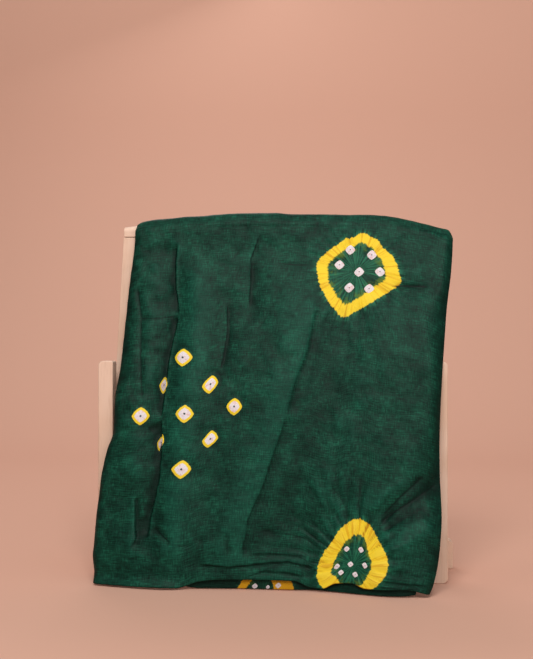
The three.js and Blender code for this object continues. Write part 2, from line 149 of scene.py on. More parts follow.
# Creases of the outermost layer, drawn downwards or from left to right. The silk stands out by the two
# amounts on the line's right or upper side and on its left or lower side, and settles over the two reaches.
# The step between them is soft, and a dark line of painted shade, of the given weight, is laid along it.
CREASES = [
    # right, left, reach right, reach left, soft, weight of the painted shade line, line of x and z
    (0.7, -3.4, 4, 14, 0.9, 0.9, [(-109, 374), (-111, 352), (-110, 320), (-105, 303), (-103, 290)]),
    (0.9, -3.4, 5, 14, 1, 0.9,
     [(-103, 290), (-106, 273), (-109, 262), (-113, 240), (-115, 214), (-118, 177)]),
    (0.9, -3.6, 5, 17, 1.2, 0.8,
     [(-118, 177), (-115, 152), (-116, 113), (-120, 92), (-126, 71), (-128, 46)]),
    (-2.8, -2.8, 7, 7, 1.5, 0.5, [(-153, 324), (-146, 287), (-145, 248), (-141, 195)]),
    (-1.3, -1.3, 4, 4, 1, 0.6, [(-151, 287), (-130, 286), (-105, 290)]),
    (-0.9, -0.9, 3, 3, 1, 0.2, [(-139, 297), (-135, 304), (-124, 304)]),
    (-2.8, 0.8, 15, 7, 1.4, 0.5, [(-139, 98), (-144, 90), (-143, 63), (-141, 48), (-146, 38)]),
    (0.6, -1.4, 8, 4, 1.2, 0.4, [(-151, 28), (-139, 31), (-129, 32)]),
    (-1.6, 0.5, 7, 5, 0.9, 0.9, [(-14, 385), (-25, 354), (-25, 326), (-25, 296)]),
    (-1.4, -1.4, 4, 4, 1, 0.5, [(-36, 369), (-45, 352)]),
    (-0.7, -0.7, 3, 3, 1, 0.3, [(-36, 350), (-42, 328)]),
    (-1.8, 0.4, 6, 5, 0.9, 0.9, [(-51, 305), (-48, 272), (-52, 241), (-56, 228)]),
    (-0.7, -0.7, 2.5, 2.5, 1, 0.3, [(-65, 350), (-47, 349)]),
    (-0.9, -0.9, 2.6, 2.6, 1, 0.7, [(2, 349), (30, 346), (48, 346)]),
    (-0.7, -0.7, 2.6, 2.6, 1, 0.6, [(30, 357), (48, 354)]),
    (-0.6, -0.6, 3, 3, 1, 0.2, [(23, 343), (10, 322)]),
    (-0.9, -0.9, 3, 3, 1, 0.4, [(2, 295), (-17, 270)]),
    (-1.7, 0.7, 12, 18, 2.0, 0.2, [(55, 298), (48, 292), (41, 253), (29, 222), (18, 182)]),
    (-1.6, 0.8, 9, 16, 1.6, 0.5,
     [(18, 182), (14, 167), (4, 138), (-6, 107), (-21, 73), (-25, 47), (-26, 32)]),
    (0.7, 0.7, 3.5, 3.5, 1, 0,
     [(56, 299), (50, 259), (39, 215), (32, 189), (26, 157), (16, 125), (-5, 73)]),
    (-1.6, -1.6, 2.6, 2.6, 1.0, 1.0, [(132, 321), (147, 322), (177, 320)]),
    (0.6, -1.6, 4, 5, 0.8, 0.9, [(-73, 26), (-40, 24), (0, 27), (24, 29), (52, 24)]),
    (0.3, -1.0, 4, 4, 0.8, 0.6, [(-19, 37), (9, 36), (45, 35)]),
    (0.3, -1.2, 4, 4, 0.8, 0.6, [(-25, 12), (-3, 19), (21, 18), (42, 15)]),
    (0.3, -1.2, 4, 4, 0.8, 0.8, [(119, 17), (145, 13), (168, 12)]),
    (0.3, -1.2, 4, 4, 0.8, 0.8, [(115, 10), (142, 8), (160, 9)]),
    (-1.8, -1.8, 4, 4, 1, 0.8, [(-121, 64), (-114, 57), (-99, 45)]),
    (-1, -1, 4, 4, 1, 0.4, [(-99, 45), (-76, 45)]),
    (-1.2, -1.2, 4, 4, 1, 0.3, [(-82, 53), (-62, 48)]),
    (-1.4, -1.4, 5, 5, 1, 0.3, [(-43, 61), (-40, 32)]),
    (-1, -1, 3, 3, 1, 0.5, [(-26, 56), (-25, 32)]),
    (-0.9, -0.9, 3, 3, 1, 0.4, [(-114, 18), (-106, 12)]),
    (-0.8, -0.8, 3, 3, 1, 0.2, [(-12, 61), (12, 60)]),
    (0.9, 0.9, 3, 3, 1, 0, [(-132, 352), (-136, 334)]),
    (-1.2, -1.2, 3, 3, 1, 0.7, [(-137, 171), (-126, 160)]),
    (-1.2, -1.2, 3, 3, 1, 0.4, [(-143, 149), (-137, 141)]),
    (-1.3, -1.3, 5, 5, 1, 0.2, [(-176, 97), (-160, 92), (-142, 98)]),
    (-1.1, -1.1, 4, 4, 1, 0.3, [(-177, 84), (-157, 84)]),
    (-1, -1, 4, 4, 1, 0.2, [(-175, 136), (-171, 128)]),
    (-1.3, -1.3, 5, 5, 1, 0.2, [(-174, 66), (-172, 44)]),
    (-0.9, -0.9, 2.6, 2.6, 1, 0.6, [(-80, 171), (-70, 162)]),
    (-0.8, -0.8, 2.6, 2.6, 1, 0.5, [(-25, 187), (-16, 183)]),
    (-0.8, -0.8, 2.6, 2.6, 1, 0.4, [(-92, 173), (-90, 164)]),
    (-0.8, -0.8, 2.6, 2.6, 1, 0.3, [(-86, 234), (-76, 223)]),
    (-0.9, -0.9, 3, 3, 1, 0.2, [(96, 197), (84, 179)]),
    (1.6, 1.6, 4, 4, 1, 0, [(110, 81), (124, 100), (146, 119)]),
    (-2, -2, 4, 4, 1, 0.6, [(121, 77), (140, 99), (166, 123)]),
    (-2.4, -2.4, 4, 5, 1, 0.9, [(119, 71), (137, 84), (160, 99), (181, 115)]),
    (2.4, 2.4, 8, 8, 1, 0, [(126, 42), (145, 52), (176, 74)]),
    (-2, -2, 6, 7, 1, 0.3, [(124, 62), (145, 76), (171, 91)]),
    (-1, -1, 3, 3, 1, 0.5, [(97, 82), (100, 103), (101, 124)]),
    (-0.8, -0.8, 3, 3, 1, 0.3, [(86, 82), (81, 94), (67, 110)]),
    (-0.9, -0.9, 3, 3, 1, 0.5, [(25, 55), (42, 53), (56, 45)]),
    (-0.9, -0.9, 3, 3, 1, 0.5, [(34, 25), (56, 23)]),
    (-0.8, -0.8, 3, 3, 1, 0.4, [(41, 15), (58, 14)]),
    (-1, -1, 3, 3, 1, 0.4, [(165, 295), (175, 303)]),
    (-1, -1, 5, 5, 1, 0.2, [(-30, 403), (-34, 377)]),
    (-1.4, -1.4, 9, 9, 1, 0, [(51, 404), (48, 376)]),
    (-0.8, -0.8, 3, 3, 1, 0.2, [(96, 404), (98, 387)]),
]
CREASE_END = 10  # a crease fades in and out over this length
CREASE_NEAR, CREASE_FAR = 4.0, 9.0  # faces this near get a painted shade line, and the others this distance
NOWHERE = 1e4  # x of the places that have no creases
CREASES_OVER = {"from": 392, "rise": 40}  # over the rail, as if the front went on upwards
DETAIL_FADE = {"above_fold": 6, "from": 1.1, "over": 0.5}  # height in the fold, and way over the rail

# Random unevenness of the silk: height, size and seed
CRUMPLE = [(0.75, 27, 3), (0.5, 12, 7), (0.2, 5.5, 9)]
LEFT_CRUMPLE = [(1.1, 21, 15), (0.5, 9, 17)]
LEFT_BAND = {"edge": -106, "fade": 14}  # left of this edge, the left crumple is added
BACK_CRUMPLE = [(2.4, 60, 21), (0.7, 20, 25)]
BACK_LOOSE = {"from": 1.7, "over": 0.4}  # the way at which the back flap starts to hang loose

# Gathers around a ring: turns and shares of their waves, and their form by the ring's own radius
GATHER_WAVES = [(5.0, 0.65), (9.5, 0.35)]
GATHER = {
    "start": 0.3, "fade": 0.6, "reaches": 4, "along": 0.55, "seed": 3.0,
    "sharp": 3.2, "level": 0.6, "deep": 1.6, "swell": 0.5,
}
# The knot of a tied dot, by its half size: a small peak in a shallow round dip
KNOT = {"rise": 0.9, "wide": 0.5, "dip": 0.5, "dip_at": 1.15, "dip_wide": 0.35}

# Painted shade, by how hollow a place lies: reach and weight of its height among its neighbours,
# then the painted shade that the left band, the inner layers under the outer fold and the turned sides add
PAINTED_SHADE = {
    "reaches": [(3, 0.42), (9, 0.18)],
    "left": 0.14, "left_edge": -108, "left_fade": 8, "left_top": 330, "top_fade": 50,
    "inner": 0.75, "sides": 0.27, "limits": (-0.6, 1),
}

# How the silk's two sides turn back, by height: reach from the side and depth at the side itself
TURN_BACK = table(
    "z left_reach left_deep right_reach right_deep",
    (0, 8, 4, 12, 5), (60, 9, 5, 20, 7), (113, 9, 5, 38, 10), (154, 10, 5, 27, 9),
    (180, 10, 5, 18, 9), (212, 15, 6, 14, 8), (250, 19, 7, 19, 9), (285, 19, 7, 25, 10),
    (303, 17, 6.5, 20, 9), (318, 14, 6, 11, 7), (358, 10, 4, 10, 6), (400, 7, 1.4, 8, 4),
)
TURN_POWER = 2.2  # how suddenly the sides turn
LIP = {"out": 3.4, "height": 7, "until": -84, "fade": 25}  # the outer fold's lip at the floor's left

# Tied rings on the outermost layer's front: centre, then half sizes to the left, right, up and down,
# and the same for the green hole inside the yellow band. The outline is turned clockwise by some degrees,
# and its corners are sharper for a lower roundness. Gathers: how high they are, and their reach.
RINGS = [
    {
        "at": (93.6, 341), "outer": (45.5, 51.5, 44.5, 54), "hole": (33.5, 33.5, 33.8, 39.5),
        "turn": 9, "round": 1.36, "gather": (0.6, 0.45), "dot": 5.4,
        "dots": [(87, 365), (111, 359), (75, 348), (97, 340), (120, 340), (86, 322), (108, 321)],
    },
    {
        "at": (91.7, 30.3), "outer": (36.5, 33.5, 49, 31), "hole": (20.8, 18.6, 32.3, 23),
        "turn": 0, "round": 1.75, "gather": (1.5, 0.8), "dot": 2.9,
        "dots": [(85, 46), (100, 46), (75, 28), (89, 31), (104, 31), (79, 22), (94, 21)],
    },
]
CLUSTER_WHITE = 0.68  # a cluster dot is white out to this share of its half size
CLUSTER_DOTS = [
    # x, z, half width, half height
    (-97, 245, 9.2, 9.8), (-117.8, 214, 5.8, 9.4), (-65, 216, 9.0, 9.8),
    (-38, 192, 9.0, 9.6), (-141, 181, 8.4, 9.8), (-92, 184, 9.0, 9.6),
    (-118.2, 152, 5.4, 9.2), (-63, 157, 8.6, 9.4), (-93, 125, 9.2, 9.8),
]
# The ring that shows at the floor, on the layer behind the raised outer fold
FLOOR_RING = {
    "at": (-3, -6), "outer": (30.7, 35, 40, 40), "hole": (22.3, 12.4, 26, 26),
    "turn": 0, "round": 1.4,
}
FLOOR_DOTS = [(-12.3, 4, 3), (1.6, 3.4, 2.1), (12.3, 5.4, 3)]  # x, z, half width
# Groups that only show from behind: layer, side of the stand, then x and z of the centre
BACK_GROUPS = [
    ("ring", 3, "back", 96, 212),
    ("cluster", 3, "back", -84, 318),
    ("ring", 0, "front", -72, 92),
    ("cluster", 0, "front", 92, 96),
]
PLAIN_RING = {
    "outer": (46, 46, 48, 48), "hole": (33, 33, 36, 36),
    "turn": 0, "round": 1.48, "dot": 5.4, "spread": 21,
}
PLAIN_CLUSTER = {"across": 27, "along": 29, "half": (9.0, 9.7)}
SEED_STEP = 0.37  # makes a tied place's random seed from where it lies
# Columns of a tied place's row: the first of its half sizes, and its other values
RING_COLUMNS = {"outer": 2, "hole": 6, "turn": 10, "round": 11}
DOT_COLUMNS = {"size": 2, "white": 6}

# The sheet's grid: its columns, and the rows of the outermost layer and of the others
COLUMNS = 216
CROWDING = 0.35  # how much closer together the columns lie towards the silk's sides
ROWS = {"outer_front": 240, "outer_top": 16, "outer_back": 36, "front": 24, "top": 8, "back": 8}
FOLD_STEPS = 7  # steps of the half turn between two layers
TUCKS = {"second": (9, 13), "inner": (14.5, 14.5)}  # how far inner layers stop short of the sides
OUTERMOST = 3  # level of the outermost layer
OUTER, OUTER_AND_TURN = 2.99, 2.9  # above these levels are its own rows, and those where its turn starts
RAIL = {"from": 0.97, "to": 1.88, "fade": 0.15, "height": 400}  # way over the rail, and height there
FRONT_UNTIL, BACK_FROM = 1.05, 1.95  # the ways of the faces on which tied places lie
FLOOR_GAP = 0.4  # the silk's lowest points lie this far above the floor


def along(tab, key, at, name):
    """Smooth curve through a table's rows, with no overshoot."""
    x, y = tab[key], tab[name]
    slope = np.diff(y) / np.diff(x)
    tangent = np.concatenate([slope[:1], meeting(slope[:-1], slope[1:]), slope[-1:]])
    at = np.clip(at, x[0], x[-1])
    i = np.clip(np.searchsorted(x, at) - 1, 0, len(x) - 2)
    t = (at - x[i]) / (x[i + 1] - x[i])
    drift = (1 - t) * (tangent[i] - slope[i]) - t * (tangent[i + 1] - slope[i])
    return y[i] + (x[i + 1] - x[i]) * (slope[i] * t + t * (1 - t) * drift)


def meeting(a, b):
    """The slope where two stretches meet: none where they turn."""
    return np.where(a * b > 0, 2 * a * b / np.where(a + b == 0, 1, a + b), 0)


def depth_at(tab, share, z):
    """Depth by height and by share of the width."""
    y = np.stack([along(tab, "z", z, f"c{i}") for i in range(len(ACROSS))])
    slope = np.diff(y, axis=0) / np.diff(ACROSS)[:, None]
    tangent = np.concatenate([slope[:1], meeting(slope[:-1], slope[1:]), slope[-1:]])
    i = np.clip(np.searchsorted(ACROSS, share) - 1, 0, len(ACROSS) - 2)
    pick = np.arange(len(share))
    span = ACROSS[i + 1] - ACROSS[i]
    t = (share - ACROSS[i]) / span
    here = slope[i, pick]
    drift = (1 - t) * (tangent[i, pick] - here) - t * (tangent[i + 1, pick] - here)
    return y[i, pick] + span * (here * t + t * (1 - t) * drift)


def smooth(t):
    """Smooth step from 0 to 1."""
    t = np.clip(t, 0, 1)
    return t * t * (3 - 2 * t)


def nearest_on(line, x, z):
    """Distance from a line of points, the side it lies on, and the length from the nearer end."""
    best = np.full(x.shape, np.inf)
    side, run = np.zeros_like(x), np.zeros_like(x)
    lengths = [math.dist(a, b) for a, b in zip(line, line[1:])]
    done = 0
    for (ax, az), (bx, bz), length in zip(line, line[1:], lengths):
        t = np.clip(((x - ax) * (bx - ax) + (z - az) * (bz - az)) / length**2, 0, 1)
        off = np.hypot(x - ax - t * (bx - ax), z - az - t * (bz - az))
        closer = off < best
        turn = (bx - ax) * (z - az) - (bz - az) * (x - ax)
        best = np.where(closer, off, best)
        side = np.where(closer, np.sign(turn), side)
        run = np.where(closer, done + t * length, run)
        done += length
    return best, side, np.minimum(run, done - run)


def relief(x, z):
    """How far the main folds stand out of the plain drape."""
    out = np.zeros_like(x)
    for rise, wide, line in FOLDS:
        off, _, _ = nearest_on(line, x, z)
        out += rise * np.exp(-((off / wide) ** 2))
    full, none = RELIEF_FADE
    return out * (1 - smooth((z - full) / (none - full)))


def top_x_at(share):
    """Where a share of the width lies on the rail."""
    return TOP_SIDES[0] + share * (TOP_SIDES[1] - TOP_SIDES[0])


def drape(share, way):
    """Innermost layer's middle: way 0 to 1 goes up the front, to 2 over the rail, to 3 down the back."""
    top_x = top_x_at(share)
    shoulder = along(TOP_LINE, "x", top_x, "z") - SHOULDER
    turn = math.pi * np.clip(way - 1, 0, 1)
    cosine, sine = np.cos(turn), np.clip(np.sin(turn), 0, 1)
    flat = np.sign(cosine) * np.abs(cosine) ** (2 / SQUARENESS)
    lift = SHOULDER * sine ** (2 / SQUARENESS)
    depth = (RAIL_FRONT + RAIL_BACK) / 2 - flat * (RAIL_BACK - RAIL_FRONT) / 2
    over = [top_x, depth, shoulder + lift]
    z = shoulder * np.where(way <= 1, way, 3 - way)
    left, right = (
        np.where(way <= 1, along(SIDES, "z", z, side), along(BACK_SIDES, "z", z, side))
        for side in ("left", "right")
    )
    x = left + share * (right - left)
    y = np.where(way <= 1, depth_at(FRONT_DEPTH, share, z) - relief(x, z), depth_at(BACK_DEPTH, share, z))
    on_top = (way > 1) & (way < 2)
    return np.stack([np.where(on_top, o, p) for o, p in zip(over, (x, y, z))], axis=-1)


def unit(v):
    """Vectors of length 1."""
    return v / np.maximum(np.linalg.norm(v, axis=-1, keepdims=True), 1e-9)


def directions(share, way):
    """The drape's outward direction and its direction of travel."""
    step = 0.004
    across = drape(np.minimum(share + step, 1), way) - drape(np.maximum(share - step, 0), way)
    travel = drape(share, np.minimum(way + step, 3)) - drape(share, np.maximum(way - step, 0))
    return unit(np.cross(across, travel)), unit(travel)


def way_at(share, z, front):
    """The way along the drape at a height of the front or the back."""
    shoulder = along(TOP_LINE, "x", top_x_at(share), "z") - SHOULDER
    return z / shoulder if front else 3 - z / shoulder


def fold_way(tab, share):
    """The way at which a front fold lies."""
    x = SIDES["left"][0] + share * (SIDES["right"][0] - SIDES["left"][0])
    return way_at(share, along(tab, "x", x, "z"), True)


def shares(tuck_left, tuck_right):
    """Columns across the silk, closer together towards its sides."""
    t = np.linspace(0, 1, COLUMNS + 1)
    even = t - CROWDING * np.sin(2 * math.pi * t) / (2 * math.pi)
    low, high = tuck_left / STRIP_WIDTH, 1 - tuck_right / STRIP_WIDTH
    return low + even * (high - low)


def stations():
    """The folded section's stations, from the outer hem behind to the inner hem behind."""
    wide, second, inner = shares(0, 0), shares(*TUCKS["second"]), shares(*TUCKS["inner"])
    rows = []

    def layer(level, share, fold, back_z, counts, to_front):
        """A layer between its front fold and its end behind."""
        low = fold_way(fold, share)
        high = way_at(share, back_z, False)
        front, top, back = counts
        ways = [low + (1 - low) * s for s in np.linspace(0, 1, front)]
        ways += [np.full_like(share, 1 + s) for s in np.linspace(0, 1, top + 2)[1:-1]]
        ways += [2 + (high - 2) * s for s in np.linspace(0, 1, back)]
        run = [(share, way, level, 0.0) for way in ways]
        rows.extend(reversed(run) if to_front else run)

    def turn(level, share_at, way_of, sign):
        """Half a turn between two layers."""
        for step, angle in enumerate(np.linspace(0, math.pi, FOLD_STEPS + 1)[1:-1]):
            share = share_at((step + 1) / FOLD_STEPS)
            between = level - 0.5 + math.cos(angle) / 2
            rows.append((share, way_of(share), between, sign * math.sin(angle) * PITCH / 2))

    fine = (ROWS["outer_front"], ROWS["outer_top"], ROWS["outer_back"])
    plain = (ROWS["front"], ROWS["top"], ROWS["back"])
    layer(OUTERMOST, wide, OUTER_FOLD, BACK_ENDS["outer_hem"], fine, True)
    turn(OUTERMOST, lambda t: wide + (second - wide) * smooth(t), lambda s: fold_way(OUTER_FOLD, s), -1)
    layer(2, second, OUTER_FOLD, BACK_ENDS["fold"], plain, False)
    turn(2, lambda t: second, lambda s: way_at(s, BACK_ENDS["fold"], False), 1)
    layer(1, inner, INNER_FOLD, BACK_ENDS["fold"], plain, True)
    turn(1, lambda t: inner, lambda s: fold_way(INNER_FOLD, s), -1)
    layer(0, inner, INNER_FOLD, BACK_ENDS["inner_hem"], plain, False)
    share, way = (np.stack([row[i] for row in rows]) for i in (0, 1))
    level, beyond = (np.array([row[i] for row in rows])[:, None] + np.zeros_like(share) for i in (2, 3))
    return share, way, level, beyond


def turned_back(share, height):
    """How far the silk's sides turn back behind its front."""
    out = np.zeros_like(share)
    for side, off in (("left", share * STRIP_WIDTH), ("right", (1 - share) * STRIP_WIDTH)):
        reach = along(TURN_BACK, "z", height, f"{side}_reach")
        deep = along(TURN_BACK, "z", height, f"{side}_deep")
        out += deep * np.clip(1 - off / reach, 0, 1) ** TURN_POWER
    return out


def uneven(a, b, c):
    """Even random values from -1 to 1 at places of a noise field."""
    places = zip(np.ravel(a), np.ravel(b), np.ravel(c))
    return np.array([noise.noise(Vector(place)) for place in places]).reshape(np.shape(a))


def crumple(x, z, sizes):
    """Random unevenness, summed over rows of height, size and seed."""
    return sum(high * uneven(x / size, z / size, np.full_like(x, seed)) for high, size, seed in sizes)


def gathers(x, z, ring, seed):
    """Folds that run in to a tied ring: rounded, with sharp valleys between them."""
    (cx, cz), (left, right, up, down) = ring["at"], ring["outer"]
    strong, reach = ring["gather"]
    dx, dz = x - cx, z - cz
    radius = np.hypot(dx / np.where(dx < 0, left, right), dz / np.where(dz < 0, down, up))
    out = np.zeros_like(x)
    near = radius < 1 + GATHER["reaches"] * reach
    angle, r = np.arctan2(dz, dx)[near], radius[near]
    valleys = np.zeros_like(r)
    for turns, share in GATHER_WAVES:
        wave = uneven(np.cos(angle) * turns, np.sin(angle) * turns, r * GATHER["along"] + seed + turns)
        valleys += share * (np.minimum(np.abs(wave) * GATHER["sharp"], 1) - GATHER["level"])
    fade = smooth((r - GATHER["start"]) / GATHER["fade"]) * np.exp(-np.clip(r - 1, 0, None) / reach)
    out[near] = strong * fade * (valleys * GATHER["deep"] + GATHER["swell"])
    return out


def creased(x, z):
    """Creases, gathers and knots of the outermost layer's front."""
    out = np.zeros_like(x)
    for right, left, reach_right, reach_left, soft, _, line in CREASES:
        off, side, run = nearest_on(line, x, z)
        ends = smooth(run / CREASE_END)
        step = smooth(0.5 + side * off / (2 * soft))
        rise_right = right * np.exp(-off / reach_right)
        rise_left = left * np.exp(-off / reach_left)
        out += ends * (rise_left + (rise_right - rise_left) * step)
    for number, ring in enumerate(RINGS):
        out += gathers(x, z, ring, GATHER["seed"] * number)
    out += crumple(x, z, CRUMPLE)
    out += smooth((LEFT_BAND["edge"] - x) / LEFT_BAND["fade"]) * crumple(x, z, LEFT_CRUMPLE)
    dots = [(dx, dz, (w + h) / 2) for dx, dz, w, h in CLUSTER_DOTS]
    for ring in RINGS:
        dots += [(dx, dz, ring["dot"]) for dx, dz in ring["dots"]]
    for cx, cz, half in dots:
        off = np.hypot(x - cx, z - cz) / half
        peak = KNOT["rise"] * np.exp(-((off / KNOT["wide"]) ** 2))
        out += peak - KNOT["dip"] * np.exp(-(((off - KNOT["dip_at"]) / KNOT["dip_wide"]) ** 2))
    return out


def crease_lines(x, z):
    """Each face corner's distance from the crease nearest to its face, and how dark the painted shade line
    along that crease is.
    """
    middle_x, middle_z = x.mean(axis=1), z.mean(axis=1)
    nearest = np.full(len(x), CREASE_NEAR)
    off, shade_weight = np.full(x.shape, CREASE_FAR), np.zeros_like(x)
    for *_, weight, line in CREASES:
        away = nearest_on(line, middle_x, middle_z)[0]
        near = away < nearest if weight else np.zeros(len(x), bool)
        corner_off, side, run = nearest_on(line, x[near], z[near])
        off[near], shade_weight[near] = side * corner_off, weight * smooth(run / CREASE_END)
        nearest = np.where(near, away, nearest)
    return np.stack([off, shade_weight], axis=-1)


def blurred(height, reach):
    """The grid's heights, evened out over a number of its points."""
    kernel = np.exp(-((np.arange(-3 * reach, 3 * reach + 1) / reach) ** 2) / 2)
    kernel /= kernel.sum()
    for axis in (0, 1):
        widths = [(0, 0), (0, 0)]
        widths[axis] = (3 * reach, 3 * reach)
        padded = np.pad(height, widths, "edge")
        height = np.apply_along_axis(lambda line: np.convolve(line, kernel, "valid"), axis, padded)
    return height


def painted_shade_at(height, x, z, level, turned):
    """Painted shade for each place, by how hollow it lies: below 0 where it stands out, which gets a
    painted highlight instead.
    """
    painted_shade = sum(weight * (blurred(height, reach) - height) for reach, weight in PAINTED_SHADE["reaches"])
    left = smooth((PAINTED_SHADE["left_edge"] - x) / PAINTED_SHADE["left_fade"])
    painted_shade += PAINTED_SHADE["left"] * left * (1 - smooth((z - PAINTED_SHADE["left_top"]) / PAINTED_SHADE["top_fade"]))
    painted_shade = np.where(level > OUTER_AND_TURN, painted_shade, PAINTED_SHADE["inner"])
    return np.clip(painted_shade + PAINTED_SHADE["sides"] * np.sqrt(turned), *PAINTED_SHADE["limits"])


def silk_points():
    """All the sheet's points, station by station.

    With them come each point's place on the strip, its level and its way, how much painted shade it
    gets, and its place on the front, for the creases.
    """
    share, way, level, beyond = stations()
    shape = share.shape
    flat = share.ravel(), way.ravel()
    place, (out, travel) = drape(*flat).reshape(*shape, 3), directions(*flat)
    out, travel = out.reshape(*shape, 3), travel.reshape(*shape, 3)
    x, z = place[..., 0], place[..., 2]
    front = way <= 1

    # Over the rail the layers lie closer together, up to the outermost layer's own line
    top_x = top_x_at(share)
    close = (along(TOP_EDGE, "x", top_x, "z") - along(TOP_LINE, "x", top_x, "z")) / OUTERMOST
    on_rail = smooth((way - RAIL["from"]) / RAIL["fade"]) * (1 - smooth((way - RAIL["to"]) / RAIL["fade"]))
    rise = level * (PITCH + (close - PITCH) * on_rail)
    turned = turned_back(share, np.where(front, z, RAIL["height"]))
    rise = rise - turned
    lip = smooth((LIP["until"] - x) / LIP["fade"]) * np.exp(-((z / LIP["height"]) ** 2)) * front
    rise = rise + LIP["out"] * lip * np.clip(level - 1, 0, 1)

    # The creases are full on the outermost layer and gone two layers further in
    over = np.clip(way - 1, 0, 1) * CREASES_OVER["rise"]
    detail = creased(x, np.where(front, z, CREASES_OVER["from"] + over))
    low = along(OUTER_FOLD, "x", x.ravel(), "z").reshape(shape)
    above_fold = smooth((z - low) / DETAIL_FADE["above_fold"])
    detail = detail * (above_fold * (1 - smooth((way - DETAIL_FADE["from"]) / DETAIL_FADE["over"])))
    rise = rise + detail * np.clip((level - 1) / 2, 0, 1)
    # Painted shade in the hollows, on the inner layers and along the turned sides; below 0, a painted
    # highlight
    painted_shade = painted_shade_at((detail + relief(x, z)) * front, x, z, level, turned) * front

    points = place + out * rise[..., None] + travel * beyond[..., None]
    loose = crumple(x, z, BACK_CRUMPLE) * (level > OUTER)
    points += out * (loose * smooth((way - BACK_LOOSE["from"]) / BACK_LOOSE["over"]))[..., None]
    points[..., 2] = np.maximum(points[..., 2], FLOOR_GAP)
    steps = np.linalg.norm(np.diff(points, axis=0), axis=-1).mean(axis=1)
    length = np.concatenate([[0], np.cumsum(steps)])
    strip_v = np.broadcast_to(length[:, None], shape)
    shown = np.where((level > OUTER) & front, x, NOWHERE)
    return points, share * STRIP_WIDTH, strip_v, level, way, painted_shade, (shown, z)


def motifs(points, u, v, level, way):
    """The tied places on the strip: rings, and dots, with their half sizes left, right, up and down."""

    def on_strip(x, z, layer, face="front"):
        """A place of the drape on the strip, which runs down the front and up the back."""
        on_face = way < FRONT_UNTIL if face == "front" else way > BACK_FROM
        here = (np.abs(level - layer) < 0.01) & on_face
        off = np.hypot(points[..., 0] - x, points[..., 2] - z)
        i = np.unravel_index(np.argmin(np.where(here, off, np.inf)), off.shape)
        down = 1 if face == "front" and layer in (1, 3) or face == "back" and layer in (0, 2) else -1
        return u[i] + x - points[i][0], v[i] - down * (z - points[i][2])

    rings, dots = [], []

    def add_ring(place, ring):
        """One ring."""
        rings.append((*place, *ring["outer"], *ring["hole"], math.radians(ring["turn"]), ring["round"]))

    def dot(place, wide, high, white):
        """One dot."""
        dots.append((*place, wide, wide, high, high, white))

    def ring_group(place):
        """A ring with a dot in the middle and six around it."""
        u0, v0 = place
        add_ring(place, PLAIN_RING)
        for k in range(7):
            far = PLAIN_RING["spread"] if k else 0
            spot = (u0 + far * math.cos(k * math.pi / 3), v0 + far * math.sin(k * math.pi / 3))
            dot(spot, PLAIN_RING["dot"], PLAIN_RING["dot"], 1.0)

    def cluster_group(place):
        """Nine dots in a diamond."""
        across, along_it = PLAIN_CLUSTER["across"], PLAIN_CLUSTER["along"]
        for i in (-1, 0, 1):
            for j in (-1, 0, 1):
                spot = (place[0] + across * (i - j), place[1] + along_it * (i + j))
                dot(spot, *PLAIN_CLUSTER["half"], CLUSTER_WHITE)

    for ring in RINGS:
        add_ring(on_strip(*ring["at"], OUTERMOST), ring)
        for place in ring["dots"]:
            dot(on_strip(*place, OUTERMOST), ring["dot"], ring["dot"], 1.0)
    for x, z, wide, high in CLUSTER_DOTS:
        dot(on_strip(x, z, OUTERMOST), wide, high, CLUSTER_WHITE)
    add_ring(on_strip(*FLOOR_RING["at"], 1), FLOOR_RING)
    for x, z, half in FLOOR_DOTS:
        dot(on_strip(x, z, 1), half, half, 1.0)
    for kind, layer, face, x, z in BACK_GROUPS:
        group = ring_group if kind == "ring" else cluster_group
        group(on_strip(x, z, layer, face))
    return np.array(rings), np.array(dots)


def nearest_of(centres, u, v):
    """The tied place nearest to each face."""
    middle = np.stack([u.mean(axis=1), v.mean(axis=1)], axis=-1)
    off = np.hypot(*(middle[:, None, :] - centres[None, :, :2]).transpose(2, 0, 1))
    return centres[np.argmin(off, axis=1)]


def local_to(nearest, halves, u, v, turn=0.0):
    """Each face corner's place within its face's tied place, with 1 at the edge."""
    # The strip's length runs down the front flap, so v falls upwards there
    across, upwards = u - nearest[:, :1], nearest[:, 1:2] - v
    a = across * np.cos(turn) - upwards * np.sin(turn)
    b = across * np.sin(turn) + upwards * np.cos(turn)
    left, right, up, down = (nearest[:, halves + i : halves + i + 1] for i in range(4))
    return np.stack([a / np.where(a < 0, left, right), b / np.where(b < 0, down, up)], axis=-1)


def new_object(name, data):
    """A new object in the scene."""
    made = bpy.data.objects.new(name, data)
    bpy.context.scene.collection.objects.link(made)
    return made


